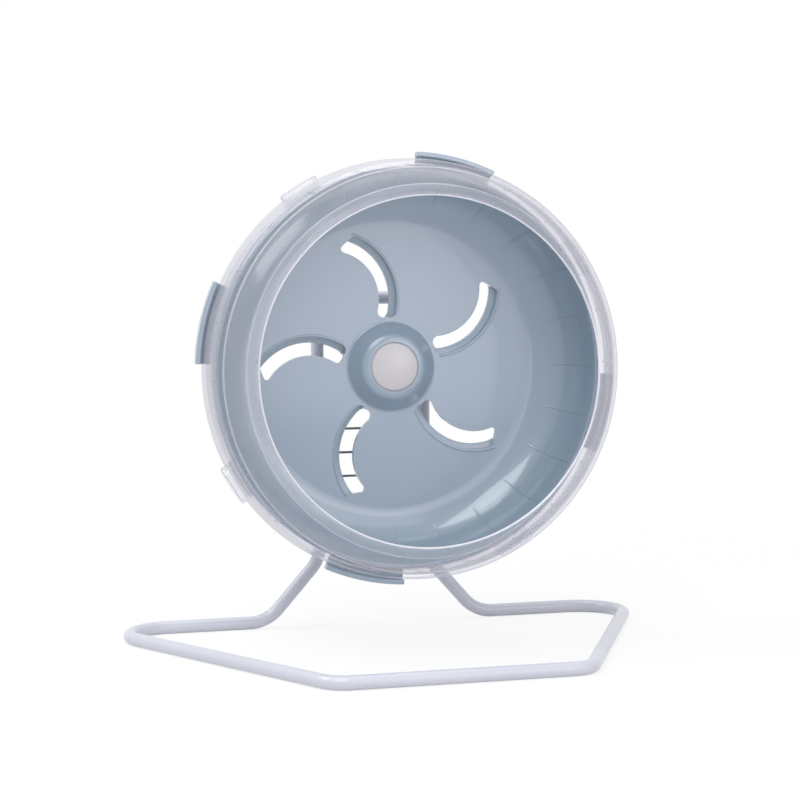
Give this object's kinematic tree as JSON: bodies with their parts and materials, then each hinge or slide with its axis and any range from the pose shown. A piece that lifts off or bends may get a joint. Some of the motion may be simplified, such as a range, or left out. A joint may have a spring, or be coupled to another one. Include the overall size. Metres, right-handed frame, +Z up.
{
  "type": "rodent exercise wheel",
  "caption": "Free-standing exercise wheel for a small rodent: a slotted drum with a clear front ring turns on sealed ball bearings in a bent wire stand.",
  "frame": {"origin": "on the floor, under the middle of the stand's box", "axes": "+Z up, the wheel's open side faces -Y, the stand's uprights are at the back at +Y, and the axle runs along Y"},
  "size_m": [0.2402, 0.155, 0.217],
  "materials": {
    "white_enamel": "gloss white enamel on steel, with a faint cool tint",
    "wire_steel": "plain drawn wire",
    "zinc_steel": "bright zinc plate",
    "spacer_alloy": "turned",
    "nylon_insert": "blue nylon",
    "bearing_steel": "ground bearing steel",
    "shield_steel": "pressed steel",
    "ball_chrome": "polished",
    "cage_brass": "turned",
    "drum_plastic": "glossy moulded blue-grey plastic",
    "clear_plastic": "clear moulded plastic",
    "cap_plastic": "satin warm light grey plastic"
  },
  "bodies": {
    "stand": {"stand_frame": "white_enamel", "cross_wires": "wire_steel", "axle_strap": "white_enamel", "axle_bolt": "zinc_steel", "axle_spacer": "spacer_alloy", "race_spacer": "spacer_alloy", "nut_washer": "zinc_steel", "lock_nut": "zinc_steel", "lock_nut_insert": "nylon_insert", "front_inner_race": "bearing_steel", "rear_inner_race": "bearing_steel"},
    "wheel": {"drum": "drum_plastic", "clear_ring": "clear_plastic", "hub_cap": "cap_plastic", "front_outer_race": "bearing_steel", "rear_outer_race": "bearing_steel", "front_shields": "shield_steel", "rear_shields": "shield_steel"},
    "front_ball_cage": {"front_cage": "cage_brass", "front_balls": "ball_chrome"},
    "rear_ball_cage": {"rear_cage": "cage_brass", "rear_balls": "ball_chrome"}
  },
  "joints": [
    {"name": "wheel_spin", "type": "hinge", "parent": "stand", "child": "wheel", "pos_m": [0, 0.0376, 0.1228], "axis": [0, -1, 0], "continuous": true},
    {"name": "front_cage_spin", "type": "hinge", "parent": "stand", "child": "front_ball_cage", "pos_m": [0, 0.045, 0.1228], "axis": [0, -1, 0], "continuous": true},
    {"name": "rear_cage_spin", "type": "hinge", "parent": "stand", "child": "rear_ball_cage", "pos_m": [0, 0.057, 0.1228], "axis": [0, -1, 0], "continuous": true}
  ],
  "couplings": [
    {"joint": "front_cage_spin", "follows": "wheel_spin", "ratio": 0.6323},
    {"joint": "rear_cage_spin", "follows": "wheel_spin", "ratio": 0.6323}
  ]
}
